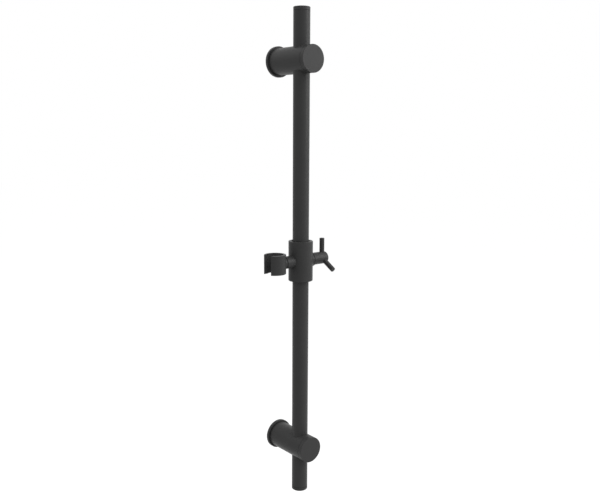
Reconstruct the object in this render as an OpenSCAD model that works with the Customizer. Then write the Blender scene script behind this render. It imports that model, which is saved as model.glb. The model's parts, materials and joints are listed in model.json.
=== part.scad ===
// Shower slide rail: a round tube held off the wall by two brackets, and a slider
// that a three-armed knob clamps on the tube. The slider carries a tilting clip for
// the cone of a hand shower.
//
// The wall is the plane y = 0 and the rail stands in front of it, towards -Y.
// The origin lies on the wall, midway between the two fixings, and +Z points up.

/* [Rail] */
// Outside diameter of the rail tube
rail_d = 22; // [18:0.5:26]
// Wall thickness of the rail tube
rail_wall = 1.2; // [0.8:0.1:2.5]
// Length of tube beyond the centre of each fixing
rail_overhang = 60.5; // [35:0.5:200]
// Height of the visible head of an end cap
end_head_h = 5; // [3:0.5:12]
// Rounding of the outer edge of an end cap
end_edge_r = 0.8; // [0.4:0.1:2]
// Length of an end cap's plug inside the tube
end_plug_len = 12; // [9:1:30]
// Wall thickness of an end cap's hollow plug
end_plug_wall = 1.6; // [1:0.1:3]

/* [Brackets] */
// Distance between the two wall fixings
fix_spacing = 527; // [300:1:900]
// Distance from the wall to the rail's axis
rail_off = 50.5; // [47:0.5:90]
// Diameter of a bracket
bracket_d = 35.6; // [33:0.2:44]
// Thickness of a bracket's wall round its stub
bracket_wall = 4.75; // [3.5:0.25:7]
// Rounding of a bracket's edges
bracket_edge_r = 0.3; // [0.2:0.1:0.9]
// Thickness of metal between the rail and the front cap's recess
front_web = 4.5; // [4:0.25:15]
// Thickness of a front cap's head
front_cap_t = 6.2; // [2:0.1:8]
// Diameter of a front cap's spigot
front_spigot_d = 26; // [20:0.5:30]
// Length of a front cap's spigot
front_spigot_len = 1.6; // [1.5:0.1:6]
// Distance that a wall rose stands out past its bracket
rose_rim = 2.55; // [1:0.05:15]
// Thickness of a wall rose
rose_t = 4; // [2:0.5:8]
// Width of the shadow groove between rose and bracket
groove_w = 1; // [0.5:0.1:3]
// Depth of the shadow groove
groove_depth = 1.6; // [0.6:0.1:2.5]
// Width of the fine seam behind a front cap and under an end cap's head
seam_w = 0.35; // [0.1:0.05:0.8]
// Depth of that seam
seam_depth = 0.6; // [0.2:0.05:0.9]

/* [Wall stubs] */
// Length of a wall stub
stub_len = 26; // [22:0.5:28]
// Wall thickness of a stub's cup
stub_wall = 4; // [3:0.5:5]
// Thickness of the base that the wall screw clamps
stub_base = 6; // [4:0.5:8]
// Diameter of the hole for the wall screw
wall_hole_d = 5.2; // [4:0.1:7]
// Diameter of the countersink for the wall screw's head
wall_sink_d = 10.4; // [9:0.2:13]
// Depth of the groove in which the stub screw's tip sits
stub_groove_depth = 0.8; // [0.4:0.1:1.2]
// Distance from the wall to the stub screw
stub_screw_at = 14; // [12:0.5:18]

/* [Bracket screws] */
// Thread diameter of the screw that clamps the rail
rail_screw_d = 6; // [4:1:8]
// Thread diameter of the screw that holds a bracket on its stub
stub_screw_d = 5; // [4:1:6]
// Depth that a set screw lies below its hole's mouth
screw_sunk = 0.5; // [0:0.1:1]
// Length of a set screw's point
screw_tip = 1; // [0.5:0.1:1.5]
// Depth of a set screw's hexagon socket
screw_key_depth = 2.2; // [1.5:0.1:2.5]

/* [Slider] */
// Height of the sleeve
sleeve_h = 54; // [46:1:90]
// Thickness of the sleeve's wall round a guide bush
sleeve_wall = 3.9; // [3.5:0.1:8]
// Rounding of the sleeve's edges
sleeve_edge_r = 0.7; // [0.2:0.1:1.5]
// Wall thickness of a guide bush
bush_wall = 1.5; // [0.8:0.1:3]
// Length of a guide bush
bush_len = 12; // [6:0.5:14]
// Depth of a guide bush below the sleeve's end
bush_sunk = 2; // [0.5:0.5:4]
// Clearance between the sleeve's middle and the rail
mid_gap = 0.8; // [0.4:0.1:1.2]
// Diameter of the boss that faces the knob
knob_boss_d = 16.8; // [15:0.1:24]
// Height of that boss above the sleeve
knob_boss_h = 2; // [1:0.1:10]
// Diameter of the neck that carries the clip
neck_d = 16.6; // [14:0.1:22]
// Length of that neck beyond the sleeve
neck_len = 11; // [10:0.5:30]

/* [Clamp knob] */
// Diameter of the knob's hub
hub_d = 16.7; // [15:0.1:24]
// Length of the knob's hub
hub_len = 25; // [24:0.5:45]
// Rounding of the hub's outer end
hub_end_r = 2.5; // [0.5:0.1:5]
// Gap between the boss and the hub when the knob is tight
hub_gap = 0.6; // [0.3:0.1:3]
// Diameter of a knob rod
rod_d = 6.8; // [4:0.1:7]
// Distance from the knob's axis to a rod's tip
rod_reach = 27.4; // [18:0.1:28]
// Distance from the hub's outer end to the rods' axes
rod_from_end = 6.4; // [5.5:0.1:8]
// Distance from the knob's axis to a rod's inner end
rod_root = 3.2; // [2.6:0.1:4.5]
// Thread diameter of the clamp stud
stud_d = 8; // [6:1:8]
// Thickness of metal between the stud's end and the rods
stud_end_web = 2.75; // [1:0.25:6]
// Width of the hexagonal clamp nut across its corners
nut_d = 12; // [11:0.5:14]
// Length of the clamp nut
nut_len = 4.5; // [3:0.1:4.8]
// Thickness of the brake pad at its middle
pad_t = 3.9; // [2.5:0.1:4.5]

/* [Handset clip] */
// Thickness of the clip's wall at its top
clip_wall = 3.3; // [2.5:0.1:8]
// Height of the clip
clip_h = 25.8; // [20:0.2:40]
// Rounding of the clip's edges
clip_edge_r = 0.5; // [0.2:0.1:1]
// Diameter of the conical seat at the top
seat_top_d = 22.4; // [21.5:0.1:23]
// Amount by which the seat's diameter narrows to the bottom
seat_taper = 2.2; // [1:0.1:3]
// Width of the slot that lets the hose in
slot_w = 15; // [12:0.5:17]
// Length of the clip's stem between its ring and the pivot
clip_stem = 0.3; // [0.1:0.1:6]
// Thickness of the friction washer
washer_t = 0.9; // [0.3:0.1:2]
// Width of the dark seam that the washer leaves round its edge
washer_inset = 0.9; // [0.3:0.1:2]
// Thread diameter of the pivot screw
pivot_d = 6; // [5:1:6]
// Head diameter of the pivot screw
pivot_head_d = 9.2; // [8.5:0.1:10]
// Head height of the pivot screw
pivot_head_h = 1.6; // [1.2:0.1:2]
// Depth of the pivot screw in the neck
pivot_in_neck = 9; // [6:0.5:9.5]

/* [Hidden] */
$fn = 96;

// Clearances
seat_gap = 0.05;  // fixed seats, all round
run_gap = 0.05;   // running fits, all round
thread_gap = 0.05;
cap_gap = 0.1;    // front cap's spigot, all round
plug_gap = 0.3;   // end cap's plug between its ribs, all round
head_gap = 0.1;   // pivot screw's head in the clip, all round
head_sunk = 0.3;  // pivot screw's head below the clip's seat
end_gap = 1;      // from a stub's end to the floor of its bore
overrun = 1;      // how far a cut runs past the solid
seam_r = 0.15;    // rounding along a cap's seam and a rose's back
bore_edge = 0.3;  // small rounding on a bush, boss, neck, stud or stub

// Key sockets, measured across corners, as shares of their screws' threads
set_key_share = 0.57;
pivot_key_share = 0.77;

// Ribs of an end cap's plug, as shares of its length
rib_place_shares = [0.3, 0.75];
rib_w_share = 0.125;

// Rail and its end caps
rail_r = rail_d / 2;
rail_bore_r = rail_r - rail_wall;
rail_len = fix_spacing + 2 * rail_overhang;
plug_r = rail_bore_r - plug_gap;
rib_r = rail_bore_r - seat_gap;
rib_w = end_plug_len * rib_w_share;

// Brackets, measured from the wall
bracket_r = bracket_d / 2;
rail_hole_r = rail_r + seat_gap;
bracket_back = rose_t + groove_w;
recess_floor = rail_off + rail_hole_r + front_web;
recess_depth = front_spigot_len + screw_sunk;
bracket_front = recess_floor + recess_depth;
stub_bore_r = bracket_r - bracket_wall;
stub_bore_end = stub_len + end_gap;
stub_r = stub_bore_r - seat_gap;
rose_r = bracket_r + rose_rim;
rose_edge_r = bracket_edge_r;

// Slider, measured from the rail's axis
bush_bore_r = rail_r + run_gap;
bush_r = bush_bore_r + bush_wall;
bush_seat_r = bush_r + run_gap;
sleeve_r = bush_seat_r + sleeve_wall;
mid_bore_r = rail_r + mid_gap;
bush_top = sleeve_h / 2 - bush_sunk;
knob_boss_end = sleeve_r + knob_boss_h;
nut_back = knob_boss_end - nut_len;
neck_end = sleeve_r + neck_len;

// Knob, measured from the rail's axis
stud_r = stud_d / 2;
nut_r = nut_d / 2;
pad_back = rail_r + run_gap + pad_t;
stud_tip = pad_back + run_gap;
hub_face = knob_boss_end + hub_gap;
hub_r = hub_d / 2;
hub_edge_r = bracket_edge_r;
rod_r = rod_d / 2;
rod_x = hub_face + hub_len - rod_from_end;
stud_end = rod_x - rod_r - stud_end_web;
rod_edge_r = rod_d / 16;
rod_count = 3;

// Clip and its pivot, measured from the rail's axis
seat_top_r = seat_top_d / 2;
seat_bottom_r = seat_top_r - seat_taper / 2;
seat_mid_r = (seat_top_r + seat_bottom_r) / 2;
seat_slope = (seat_top_r - seat_bottom_r) / clip_h;
clip_r = seat_top_r + clip_wall;
neck_r = neck_d / 2;
washer_face = neck_end + run_gap;
clip_face = washer_face + washer_t + run_gap;
clip_x = clip_face + clip_stem + clip_r;
head_face = clip_x - seat_mid_r - head_sunk;
head_seat = head_face - pivot_head_h - run_gap;
pivot_r = pivot_d / 2;
pivot_head_r = pivot_head_d / 2;

// Finishes
matt_black = "#262626";
black_plastic = "#1b1b1b";
stainless = "#a8aaac";
brass = "#b8964f";
zinc_grey = "#8b8d90";
off_white = "#d9d8d2";

// Corner that a rounding of radius e takes off, with the arc's centre at the origin
module edge_cut(e) {
    difference() {
        square([e + overrun, e + overrun]);
        circle(e);
    }
}

// Round bar of radius r that stands on z = 0, with both edges rounded
module bar(r, h, low_edge, high_edge) {
    rotate_extrude()
    difference() {
        square([r, h]);
        translate([r - high_edge, h - high_edge]) edge_cut(high_edge);
        translate([r - low_edge, low_edge]) mirror([0, 1]) edge_cut(low_edge);
    }
}

// Plain round post along z from one height to another
module post(r, from, to) {
    translate([0, 0, from]) cylinder(h = to - from, r = r);
}

// The same form where it is cut away
module hole(r, from, to) {
    post(r, from, to);
}

// The same form with six flats, r being its half width across corners
module hexagon(r, from, to) {
    translate([0, 0, from]) cylinder(h = to - from, r = r, $fn = 6);
}

// Places a piece that is drawn upright: its base on the wall and its height along -Y
module on_wall(z) {
    translate([0, 0, z]) rotate([90, 0, 0]) children();
}

// Places a piece that is drawn upright on the rail's axis
module on_rail() {
    translate([0, -rail_off, 0]) children();
}

// Turns a piece so that its height runs from the rail's axis towards the knob
module to_knob() {
    on_rail() rotate([0, 90, 0]) children();
}

// Turns a piece so that its height runs from the rail's axis towards the clip
module to_clip() {
    on_rail() rotate([0, -90, 0]) children();
}

// Turns a piece so that its height runs out of a bracket's underside
module underside() {
    translate([0, 0, stub_screw_at]) rotate([90, 0, 0]) children();
}

// Set screw from its flat point at z = 0 up to its socketed end
module set_screw(d, len) {
    color(stainless)
    difference() {
        union() {
            cylinder(h = screw_tip, r1 = d / 2 - screw_tip, r2 = d / 2);
            translate([0, 0, screw_tip]) cylinder(h = len - screw_tip, r = d / 2);
        }
        hexagon(d / 2 * set_key_share, len - screw_key_depth, len + overrun);
    }
}

module rail_tube() {
    color(matt_black)
    on_rail()
    translate([0, 0, -rail_len / 2])
    difference() {
        bar(rail_r, rail_len, seam_r, seam_r);
        hole(rail_bore_r, -overrun, rail_len + overrun);
    }
}

// End cap on z = 0: a head above the tube's end and a hollow ribbed plug inside it
module end_cap() {
    color(matt_black)
    difference() {
        union() {
            translate([0, 0, seam_w]) bar(rail_r, end_head_h - seam_w, seam_r, end_edge_r);
            post(rail_r - seam_depth, 0, seam_w + seam_r);
            post(plug_r, -end_plug_len, seam_w);
            for (share = rib_place_shares)
                translate([0, 0, -share * end_plug_len]) cylinder(h = rib_w, r = rib_r, center = true);
        }
        hole(plug_r - end_plug_wall, -end_plug_len - overrun, 0);
    }
}

module top_end_cap() {
    on_rail() translate([0, 0, rail_len / 2]) end_cap();
}

module bottom_end_cap() {
    on_rail() mirror([0, 0, 1]) translate([0, 0, rail_len / 2]) end_cap();
}

// Bracket with its base on the wall: a round post that the rail crosses
module bracket() {
    color(matt_black)
    difference() {
        union() {
            translate([0, 0, bracket_back])
                bar(bracket_r, bracket_front - bracket_back, bracket_edge_r, seam_r);
            post(bracket_r - groove_depth, rose_t, bracket_back + overrun);
        }
        hole(stub_bore_r, rose_t - overrun, stub_bore_end);
        translate([0, 0, rail_off]) rotate([90, 0, 0])
            cylinder(h = bracket_d + overrun, r = rail_hole_r, center = true);
        hole(rail_screw_d / 2 + thread_gap, rail_off, bracket_front);
        hole(front_spigot_d / 2 + cap_gap, recess_floor, bracket_front + overrun);
        underside() hole(stub_screw_d / 2 + thread_gap, 0, bracket_r + overrun);
    }
}

module upper_bracket() {
    on_wall(fix_spacing / 2) bracket();
}

module lower_bracket() {
    on_wall(-fix_spacing / 2) bracket();
}

// Front cap: a disc that closes the bracket, with a spigot in its recess
module front_cap() {
    color(matt_black)
    union() {
        translate([0, 0, bracket_front + seam_w])
            bar(bracket_r, front_cap_t - seam_w, seam_r, bracket_edge_r);
        post(bracket_r - seam_depth, bracket_front, bracket_front + seam_w + seam_r);
        post(front_spigot_d / 2, bracket_front - front_spigot_len, bracket_front + seam_w);
    }
}

module upper_front_cap() {
    on_wall(fix_spacing / 2) front_cap();
}

module lower_front_cap() {
    on_wall(-fix_spacing / 2) front_cap();
}

// Rose: a flat ring that the bracket's neck presses on the wall
module wall_rose() {
    color(matt_black)
    difference() {
        bar(rose_r, rose_t, seam_r, rose_edge_r);
        hole(stub_bore_r, -overrun, rose_t + overrun);
    }
}

module upper_wall_rose() {
    on_wall(fix_spacing / 2) wall_rose();
}

module lower_wall_rose() {
    on_wall(-fix_spacing / 2) wall_rose();
}

// Stub: a cup with its base screwed to the wall and a groove for the stub screw
module wall_stub() {
    sink_depth = (wall_sink_d - wall_hole_d) / 2;
    groove_floor = stub_r - stub_groove_depth;
    half_w = stub_screw_d / 2 - screw_tip + bore_edge;
    color(zinc_grey)
    difference() {
        bar(stub_r, stub_len, seam_r, bore_edge);
        hole(stub_r - stub_wall, stub_base, stub_len + overrun);
        hole(wall_hole_d / 2, -overrun, stub_base + overrun);
        translate([0, 0, stub_base - sink_depth])
            cylinder(h = sink_depth, r1 = wall_hole_d / 2, r2 = wall_sink_d / 2);
        translate([0, 0, stub_screw_at])
        rotate_extrude()
        polygon([
            [groove_floor, -half_w],
            [stub_r + overrun, -half_w - stub_groove_depth - overrun],
            [stub_r + overrun, half_w + stub_groove_depth + overrun],
            [groove_floor, half_w]
        ]);
    }
}

module upper_wall_stub() {
    on_wall(fix_spacing / 2) wall_stub();
}

module lower_wall_stub() {
    on_wall(-fix_spacing / 2) wall_stub();
}

// Stub screw: from the stub's groove down to the bracket's underside
module stub_screw() {
    start = stub_r - stub_groove_depth + seat_gap;
    underside()
        translate([0, 0, start]) set_screw(stub_screw_d, bracket_r - screw_sunk - start);
}

module upper_stub_screw() {
    on_wall(fix_spacing / 2) stub_screw();
}

module lower_stub_screw() {
    on_wall(-fix_spacing / 2) stub_screw();
}

// Rail screw: from the rail's front out to the floor of the cap's recess
module rail_screw() {
    start = rail_off + rail_r + seat_gap;
    translate([0, 0, start]) set_screw(rail_screw_d, recess_floor - screw_sunk - start);
}

module upper_rail_screw() {
    on_wall(fix_spacing / 2) rail_screw();
}

module lower_rail_screw() {
    on_wall(-fix_spacing / 2) rail_screw();
}

// Sleeve of the slider, with the knob's boss on one side and the clip's neck on the other
module slider_sleeve() {
    color(matt_black)
    on_rail()
    difference() {
        union() {
            translate([0, 0, -sleeve_h / 2]) bar(sleeve_r, sleeve_h, sleeve_edge_r, sleeve_edge_r);
            rotate([0, 90, 0]) bar(knob_boss_d / 2, knob_boss_end, bore_edge, bore_edge);
            rotate([0, -90, 0]) bar(neck_r, neck_end, bore_edge, bore_edge);
        }
        cylinder(h = sleeve_h + 2 * overrun, r = mid_bore_r, center = true);
        hole(bush_seat_r, bush_top - bush_len, sleeve_h / 2 + overrun);
        mirror([0, 0, 1]) hole(bush_seat_r, bush_top - bush_len, sleeve_h / 2 + overrun);
        rotate([0, 90, 0]) {
            hole(stud_r + run_gap, 0, knob_boss_end);
            hexagon(nut_r + seat_gap, nut_back, knob_boss_end + overrun);
        }
        rotate([0, -90, 0])
            hole(pivot_r + thread_gap, neck_end - pivot_in_neck - overrun, neck_end + overrun);
    }
}

// Guide bush that slides on the rail, drawn in the sleeve's upper end
module guide_bush() {
    color(black_plastic)
    difference() {
        translate([0, 0, bush_top - bush_len]) bar(bush_r, bush_len, bore_edge, bore_edge);
        hole(bush_bore_r, bush_top - bush_len - overrun, bush_top + overrun);
    }
}

module upper_guide_bush() {
    on_rail() guide_bush();
}

module lower_guide_bush() {
    on_rail() mirror([0, 0, 1]) guide_bush();
}

// Hexagonal threaded nut, pressed into the boss where it can't turn
module clamp_nut() {
    color(brass)
    to_knob()
    difference() {
        hexagon(nut_r, nut_back, knob_boss_end);
        hole(stud_r + run_gap, nut_back - overrun, knob_boss_end + overrun);
    }
}

// Brake pad: a short pin with a hollow face that fits the rail
module brake_pad() {
    color(off_white)
    difference() {
        to_knob() post(stud_r, rail_r - overrun, pad_back);
        on_rail() cylinder(h = stud_d + 2 * overrun, r = rail_r + run_gap, center = true);
    }
}

module clamp_stud() {
    color(stainless)
    to_knob()
    translate([0, 0, stud_tip])
        bar(stud_r, stud_end - stud_tip, bore_edge, bore_edge);
}

// Turns a piece that is drawn upright on the knob's axis to the place of one rod
module at_rod(i) {
    to_knob()
    translate([0, 0, rod_x])
    rotate([0, 0, 360 / rod_count * i])
    rotate([0, -90, 0])
        children();
}

module knob_hub() {
    color(matt_black)
    difference() {
        to_knob() translate([0, 0, hub_face]) bar(hub_r, hub_len, hub_edge_r, hub_end_r);
        to_knob() hole(stud_r + seat_gap, hub_face - overrun, stud_end + seat_gap);
        for (i = [0 : rod_count - 1])
            at_rod(i) hole(rod_r + seat_gap, rod_root - seat_gap, hub_r + overrun);
    }
}

module knob_rod(i) {
    color(matt_black)
    at_rod(i) translate([0, 0, rod_root]) bar(rod_r, rod_reach - rod_root, rod_edge_r, rod_edge_r);
}

module knob_rod_up() {
    knob_rod(0);
}

module knob_rod_front() {
    knob_rod(1);
}

module knob_rod_back() {
    knob_rod(2);
}

// Clip: an upright ring with a conical seat, open on the far side for the hose
module handset_clip() {
    color(matt_black)
    difference() {
        union() {
            on_rail() translate([-clip_x, 0, -clip_h / 2])
                bar(clip_r, clip_h, clip_edge_r, clip_edge_r);
            to_clip() post(neck_r, clip_face, clip_x);
        }
        on_rail() translate([-clip_x, 0, -clip_h / 2 - overrun])
            cylinder(h = clip_h + 2 * overrun,
                r1 = seat_bottom_r - seat_slope * overrun,
                r2 = seat_top_r + seat_slope * overrun);
        on_rail() translate([-clip_x - clip_r - overrun, -slot_w / 2, -clip_h / 2 - overrun])
            cube([clip_r + overrun, slot_w, clip_h + 2 * overrun]);
        to_clip() {
            hole(pivot_head_r + head_gap, head_seat, clip_x);
            hole(pivot_r + run_gap, clip_face - overrun, clip_x);
        }
    }
}

// Pivot screw: its head lies in the clip's seat and its thread in the neck
module pivot_screw() {
    head_under = head_face - pivot_head_h;
    color(stainless)
    to_clip()
    difference() {
        union() {
            post(pivot_head_r, head_under, head_face);
            post(pivot_r, neck_end - pivot_in_neck, head_under);
        }
        hexagon(pivot_r * pivot_key_share, head_face - screw_key_depth, head_face + overrun);
    }
}

module friction_washer() {
    color(black_plastic)
    to_clip()
    difference() {
        post(neck_r - washer_inset, washer_face, washer_face + washer_t);
        hole(pivot_r + seat_gap, washer_face - overrun, washer_face + washer_t + overrun);
    }
}

rail_tube();
top_end_cap();
bottom_end_cap();
upper_bracket();
lower_bracket();
upper_front_cap();
lower_front_cap();
upper_wall_rose();
lower_wall_rose();
upper_wall_stub();
lower_wall_stub();
upper_stub_screw();
lower_stub_screw();
upper_rail_screw();
lower_rail_screw();
slider_sleeve();
upper_guide_bush();
lower_guide_bush();
clamp_nut();
brake_pad();
clamp_stud();
knob_hub();
knob_rod_up();
knob_rod_front();
knob_rod_back();
handset_clip();
pivot_screw();
friction_washer();
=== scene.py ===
import json
import math

import bpy
import numpy as np
from mathutils import Matrix, Vector


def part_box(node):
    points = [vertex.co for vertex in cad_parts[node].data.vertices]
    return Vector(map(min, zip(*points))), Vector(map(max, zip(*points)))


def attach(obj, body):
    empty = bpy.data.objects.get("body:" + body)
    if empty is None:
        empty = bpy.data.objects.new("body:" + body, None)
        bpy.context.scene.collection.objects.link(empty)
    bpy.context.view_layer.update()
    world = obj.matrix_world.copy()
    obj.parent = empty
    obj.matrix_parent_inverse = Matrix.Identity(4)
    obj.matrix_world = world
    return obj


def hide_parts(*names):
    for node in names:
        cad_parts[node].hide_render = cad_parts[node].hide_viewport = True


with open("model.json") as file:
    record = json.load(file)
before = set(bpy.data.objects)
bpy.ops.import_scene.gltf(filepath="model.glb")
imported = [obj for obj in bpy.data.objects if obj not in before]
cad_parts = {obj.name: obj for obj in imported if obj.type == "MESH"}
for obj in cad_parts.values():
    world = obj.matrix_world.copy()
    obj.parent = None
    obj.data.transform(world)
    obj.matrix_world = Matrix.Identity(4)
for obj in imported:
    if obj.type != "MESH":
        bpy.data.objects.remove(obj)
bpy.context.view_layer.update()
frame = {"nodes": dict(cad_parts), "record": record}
nodes = frame["nodes"]
bodies = frame["record"]["behaviour"]["bodies"]
bodyOf = {node: body for body, members in bodies.items() for node in members}
print("frame loaded:", len(nodes), "nodes")


# Camera, fitted to the outline in the photo

cameraSetup = {
    "place": (-0.6104, -0.7975, 0.1781),  # metres, in the row's frame
    "azimuth": -39.2,        # degrees, 0 looks along +Y
    "elevation": 9.63,       # degrees, how far the view looks down
    "roll": 0.264,           # degrees
    "focalPixels": 726.3,
    "imageWidth": 600,       # pixels
    "sensor": 36.0,          # mm
    "clipStart": 0.01,       # metres
}


def placeCamera(setup):
    azimuth, elevation, roll = (math.radians(setup[k]) for k in ("azimuth", "elevation", "roll"))
    back = Vector((math.sin(azimuth) * math.cos(elevation),
                   -math.cos(azimuth) * math.cos(elevation), math.sin(elevation)))
    level = Vector((math.cos(azimuth), math.sin(azimuth), 0))
    rise = back.cross(level)
    right = level * math.cos(roll) + rise * math.sin(roll)
    up = back.cross(right)
    data = bpy.data.cameras.new("camera")
    data.sensor_width = setup["sensor"]
    data.lens = setup["focalPixels"] / setup["imageWidth"] * setup["sensor"]
    data.clip_start = setup["clipStart"]
    camera = bpy.data.objects.new("camera", data)
    bpy.context.scene.collection.objects.link(camera)
    camera.matrix_world = Matrix((
        (right.x, up.x, back.x, setup["place"][0]),
        (right.y, up.y, back.y, setup["place"][1]),
        (right.z, up.z, back.z, setup["place"][2]),
        (0, 0, 0, 1),
    ))
    bpy.context.scene.camera = camera


placeCamera(cameraSetup)
bpy.context.scene.view_settings.view_transform = "Standard"
print("camera placed")


# Materials: one class wraps a socket so that shader maths reads as plain maths

class Wire:
    def __init__(self, graph, socket):
        self.graph, self.socket = graph, socket

    def join(self, operation, other):
        return self.graph.node("ShaderNodeMath", {"operation": operation}, {0: self, 1: other})

    def __add__(self, other):
        return self.join("ADD", other)

    __radd__ = __add__

    def __sub__(self, other):
        return self.join("SUBTRACT", other)

    def __mul__(self, other):
        return self.join("MULTIPLY", other)


# Node tree of a new material or world, the owner
class Graph:
    def __init__(self, owner):
        owner.use_nodes = True
        self.owner, self.tree = owner, owner.node_tree
        self.tree.nodes.clear()

    # Adds a node: settings first, then the values or links of its sockets
    def node(self, kind, settings=None, inputs=None, output=0):
        made = self.tree.nodes.new(kind)
        for key, value in (settings or {}).items():
            setattr(made, key, value)
        for key, value in (inputs or {}).items():
            if isinstance(value, Wire):
                self.tree.links.new(value.socket, made.inputs[key])
            else:
                made.inputs[key].default_value = value
        return None if output is None else Wire(self, made.outputs[output])

    # Noise of 0 to 1, about 0.5 on average, with its cells per metre
    def noise(self, cells, detail=3.0, roughness=0.55):
        place = self.node("ShaderNodeTexCoord", output="Object")
        return self.node("ShaderNodeTexNoise", None, {
            "Vector": place, "Scale": cells, "Detail": detail, "Roughness": roughness,
        }, output="Fac")

    # Blends two colours by a factor
    def mix(self, factor, first, second):
        return self.node("ShaderNodeMix", {"data_type": "RGBA"}, {
            0: factor, 6: first, 7: second,
        }, output=2)

    # Relief of height times distance, in metres
    def bump(self, height, distance=1.0):
        return self.node("ShaderNodeBump", None, {
            "Height": height, "Distance": distance, "Strength": 1.0,
        })

    # 1 for the rays named, such as Camera, and 0 for all others
    def rays(self, *kinds):
        seen = [self.node("ShaderNodeLightPath", output="Is " + kind + " Ray") for kind in kinds]
        return sum(seen[1:], seen[0])

    def surface(self, inputs):
        return self.finish(self.node("ShaderNodeBsdfPrincipled", None, inputs))

    def finish(self, shader):
        kind = "World" if isinstance(self.owner, bpy.types.World) else "Material"
        self.node("ShaderNodeOutput" + kind, None, {"Surface": shader}, output=None)
        return self.owner


# Opaque colour from its red, green and blue, dimmed to a share
def opaque(colour, share=1.0):
    return (*(level * share for level in colour), 1.0)


def grey(level):
    return opaque((level, level, level))


# Finishes. Noises are given as cells per metre, heights in metres.

coatSetup = {
    "colour": 0.038,         # linear grey of the black coat
    "colourSpread": 0.12,    # share by which it goes darker and lighter
    "roughness": 0.37,
    "roughnessSpread": 0.06,
    "specular": 0.1,
    "drift": 38.0,           # slow change of colour and roughness, about 26 mm
    "grain": 2200.0,         # fine powder grain, about 0.5 mm
    "grainShare": 0.3,       # part of the colour's change that follows the grain
    "grainHeight": 0.00007,
    "ripple": 420.0,         # soft orange peel, about 2.5 mm
    "rippleHeight": 0.00003,
}


# Matt powder coat: grain and ripple in the height, slow drift and grain in colour and roughness
def coatMaterial(name, setup):
    graph = Graph(bpy.data.materials.new(name))
    drift = graph.noise(setup["drift"], detail=2.0)
    grain = graph.noise(setup["grain"], detail=2.0)
    ripple = graph.noise(setup["ripple"], detail=1.0)
    dark = grey(setup["colour"] * (1 - setup["colourSpread"]))
    light = grey(setup["colour"] * (1 + setup["colourSpread"]))
    shade = drift * (1 - setup["grainShare"]) + grain * setup["grainShare"]
    height = grain * setup["grainHeight"] + ripple * setup["rippleHeight"]
    return graph.surface({
        "Base Color": graph.mix(shade, dark, light),
        "Roughness": setup["roughness"] + (drift + grain - 1.0) * setup["roughnessSpread"],
        "Specular IOR Level": setup["specular"],
        "Normal": graph.bump(height),
    })


plasticSetup = dict(coatSetup, roughness=0.4, grain=5200.0, grainHeight=0.000008,
                    rippleHeight=0.000006)
# Friction washer, a real part. Its colour, a third of the coat's, is made darker to paint the shade
# in the groove between the clip and the neck.
washerPaintedShadeSetup = dict(coatSetup, colour=0.012, roughness=0.6)

metalSetup = {
    "cloud": 160.0,          # change of colour and roughness, about 6 mm
    "dullShare": 0.8,        # colour of the dullest spots, as a share of the full one
    "grainShare": 0.4,       # part of the colour's change that follows the grain
    "roughnessSpread": 0.16,
}
zincSetup = dict(metalSetup, colour=(0.42, 0.43, 0.45), roughness=0.42, grain=900.0,
                 grainHeight=0.00001)
steelSetup = dict(metalSetup, colour=(0.53, 0.53, 0.54), roughness=0.27, grain=2400.0,
                  grainHeight=0.000003)
brassSetup = dict(metalSetup, colour=(0.68, 0.5, 0.22), roughness=0.3, grain=2400.0,
                  grainHeight=0.000003)


# Bare metal: cloudy colour and roughness, and a fine grain
def metalMaterial(name, setup):
    graph = Graph(bpy.data.materials.new(name))
    cloud = graph.noise(setup["cloud"])
    grain = graph.noise(setup["grain"])
    full = opaque(setup["colour"])
    dull = opaque(setup["colour"], setup["dullShare"])
    shade = cloud * (1 - setup["grainShare"]) + grain * setup["grainShare"]
    return graph.surface({
        "Base Color": graph.mix(shade, dull, full),
        "Metallic": 1.0,
        "Roughness": setup["roughness"] + (cloud - 0.5) * setup["roughnessSpread"],
        "Normal": graph.bump(grain, setup["grainHeight"]),
    })


nylonSetup = {
    "colour": (0.74, 0.73, 0.68),
    "shade": (0.66, 0.64, 0.58),
    "roughness": 0.44,
    "roughnessSpread": 0.12,
    "cloud": 210.0,          # change of colour and roughness, about 5 mm
    "grain": 3000.0,         # faint moulded grain, about 0.3 mm
    "grainHeight": 0.000004,
    "subsurface": 0.08,
    "subsurfaceRadius": (0.002, 0.002, 0.0015),
}


# Natural nylon: slightly uneven, and light enters it a little
def nylonMaterial(name, setup):
    graph = Graph(bpy.data.materials.new(name))
    cloud = graph.noise(setup["cloud"])
    grain = graph.noise(setup["grain"], detail=2.0)
    return graph.surface({
        "Base Color": graph.mix(cloud, opaque(setup["shade"]), opaque(setup["colour"])),
        "Roughness": setup["roughness"] + (cloud - 0.5) * setup["roughnessSpread"],
        "Subsurface Weight": setup["subsurface"],
        "Subsurface Radius": setup["subsurfaceRadius"],
        "Normal": graph.bump(grain, setup["grainHeight"]),
    })


finishes = {
    "black_metal": coatMaterial("blackCoat", coatSetup),
    "black_plastic": coatMaterial("blackPlastic", plasticSetup),
    # The washer's colour holds painted shade of the groove between clip and neck.
    "washer": coatMaterial("washerPaintedShade", washerPaintedShadeSetup),
    "zinc": metalMaterial("zincCasting", zincSetup),
    "steel": metalMaterial("stainlessSteel", steelSetup),
    "brass": metalMaterial("turnedBrass", brassSetup),
    "nylon": nylonMaterial("naturalNylon", nylonSetup),
}
for part in frame["record"]["subparts"]:
    slots = nodes[part["node"]].data.materials
    slots.clear()
    slots.append(finishes[part["material_slot"]])
print("finishes set:", len(finishes))


# The clamp stud gets its real thread. The CAD node is a plain bar of the same length and diameter.

studSetup = {
    "pitch": 0.00125,        # metres that a full turn of the knob moves it
    "depthShare": 0.541,     # depth from crest to root, as a share of the pitch
    "crestShare": 0.125,     # flat on the crest, as a share of the pitch
    "rootShare": 0.25,       # flat at the root, as a share of the pitch
    "rowsPerPitch": 16,
    "around": 72,            # points in each row
}


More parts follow.
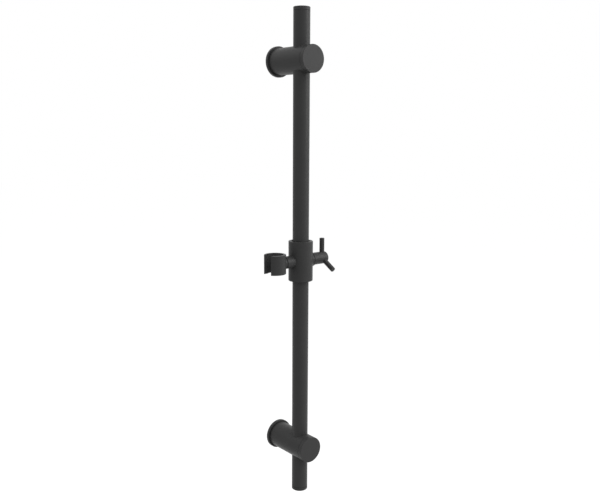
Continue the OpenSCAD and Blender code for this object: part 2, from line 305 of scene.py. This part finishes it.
# Right-hand thread along X as a surface of the place x and the turn. Its radius is the root's plus
# the depth times a trapezium wave of (x / pitch - turn / full turn). Near each tip the radius stays
# under a 45 degree cone that starts at the root.
def threadedBar(name, low, high, setup):
    depth = setup["pitch"] * setup["depthShare"]
    crest = (high[2] - low[2]) / 2
    root = crest - depth
    rows = math.ceil((high[0] - low[0]) / setup["pitch"] * setup["rowsPerPitch"]) + 1
    around = setup["around"]
    x = np.linspace(low[0], high[0], rows)[:, None]
    turn = np.linspace(0, 2 * np.pi, around, endpoint=False)[None, :]
    fromCrest = np.abs((x / setup["pitch"] - turn / (2 * np.pi)) % 1.0 - 0.5) * 2
    flank = 1 - setup["rootShare"] - setup["crestShare"]
    radius = root + depth * np.clip((1 - setup["rootShare"] - fromCrest) / flank, 0, 1)
    radius = np.minimum(radius, root + np.minimum(x - low[0], high[0] - x))
    middle = [(low[k] + high[k]) / 2 for k in range(3)]
    ring = np.stack(np.broadcast_arrays(
        x, middle[1] + radius * np.cos(turn), middle[2] + radius * np.sin(turn)), -1)
    tips = [[low[0], *middle[1:]], [high[0], *middle[1:]]]
    points = np.vstack([ring.reshape(-1, 3), tips])
    first = np.arange(rows * around).reshape(rows, around)
    beside = np.roll(first, -1, axis=1)
    side = np.stack([first[:-1], beside[:-1], beside[1:], first[1:]], -1).reshape(-1, 4)
    lowTip, highTip = (np.full(around, rows * around + k) for k in range(2))
    ends = np.vstack([np.stack([lowTip, beside[0], first[0]], -1),
                      np.stack([highTip, first[-1], beside[-1]], -1)])
    mesh = bpy.data.meshes.new(name)
    mesh.from_pydata(points.tolist(), [], side.tolist() + ends.tolist())
    mesh.polygons.foreach_set("use_smooth", [True] * len(side) + [False] * len(ends))
    piece = bpy.data.objects.new(name, mesh)
    bpy.context.scene.collection.objects.link(piece)
    return piece


threadedStud = threadedBar("threadedStud", *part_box("clamp_stud"), studSetup)
threadedStud.data.materials.append(finishes["steel"])
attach(threadedStud, bodyOf["clamp_stud"])
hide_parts("clamp_stud")
print("stud threaded:", len(threadedStud.data.polygons), "faces")


# Studio: a white surround, a pale floor far below the rail, and soft lamps

studioSetup = {
    "surround": 0.9,         # light that the surround gives to matt surfaces
    "floorDrop": 1.1,        # metres from the middle of the fixings down to the floor
    "floorSize": 30.0,       # metres
    "floorColour": 0.5,
    "floorLift": 0.55,       # light added where the floor is seen, up to white
    "lampSize": 1.0,         # metres
    "lampDistance": 2.2,     # metres from the middle of the fixings
}


# The surround is white where it is seen or mirrored and dimmer as a light
def makeSurround(setup):
    graph = Graph(bpy.data.worlds.new("surround"))
    seen = graph.rays("Camera", "Glossy", "Transmission")
    strength = setup["surround"] + seen * (1.0 - setup["surround"])
    shader = graph.node("ShaderNodeBackground", None, {"Color": grey(1.0), "Strength": strength})
    bpy.context.scene.world = graph.finish(shader)


# The floor shows white where it is seen or mirrored, apart from its shadows
def makeFloor(setup):
    half = setup["floorSize"] / 2
    sides = ((-half, -half), (half, -half), (half, half), (-half, half))
    corners = [(x, y, -setup["floorDrop"]) for x, y in sides]
    mesh = bpy.data.meshes.new("floor")
    mesh.from_pydata(corners, [], [(0, 1, 2, 3)])
    floor = bpy.data.objects.new("floor", mesh)
    bpy.context.scene.collection.objects.link(floor)
    graph = Graph(bpy.data.materials.new("paleFloor"))
    seen = graph.rays("Camera", "Glossy", "Transmission")
    plain = graph.node("ShaderNodeBsdfDiffuse", None, {"Color": grey(setup["floorColour"])})
    lift = graph.node("ShaderNodeEmission", None, {"Strength": seen * setup["floorLift"]})
    both = graph.node("ShaderNodeAddShader", None, {0: plain, 1: lift})
    mesh.materials.append(graph.finish(both))


# Square lamps. In degrees, the turn is 0 in front of the wall and 90 on the knob's side, and the
# lift is 90 overhead. The power is in watts.
lampSetup = {
    "frontBox": {"turn": 43, "lift": 14, "power": 14.5},
    "frontHighBox": {"turn": 43, "lift": 34, "power": 11.5},
    "sideBox": {"turn": 80, "lift": 20, "power": 4.0},
    "sideHighBox": {"turn": 62, "lift": 36, "power": 3.0},
    "overBox": {"turn": 10, "lift": 50, "power": 2.4},
    "topBox": {"turn": 0, "lift": 88, "power": 8.0},
    "leftBackBox": {"turn": -150, "lift": 30, "power": 1.0},
}


# Lamp that faces the middle of the fixings
def makeLamp(name, setup, size, distance):
    data = bpy.data.lights.new(name, "AREA")
    data.shape = "SQUARE"
    data.size = size
    data.energy = setup["power"]
    lamp = bpy.data.objects.new(name, data)
    bpy.context.scene.collection.objects.link(lamp)
    turn, lift = math.radians(setup["turn"]), math.radians(setup["lift"])
    toward = Vector((math.sin(turn) * math.cos(lift), -math.cos(turn) * math.cos(lift),
                     math.sin(lift)))
    lamp.location = toward * distance
    lamp.rotation_euler = toward.to_track_quat("Z", "Y").to_euler()


makeSurround(studioSetup)
makeFloor(studioSetup)
for lampName, setup in lampSetup.items():
    makeLamp(lampName, setup, studioSetup["lampSize"], studioSetup["lampDistance"])
print("studio lit")
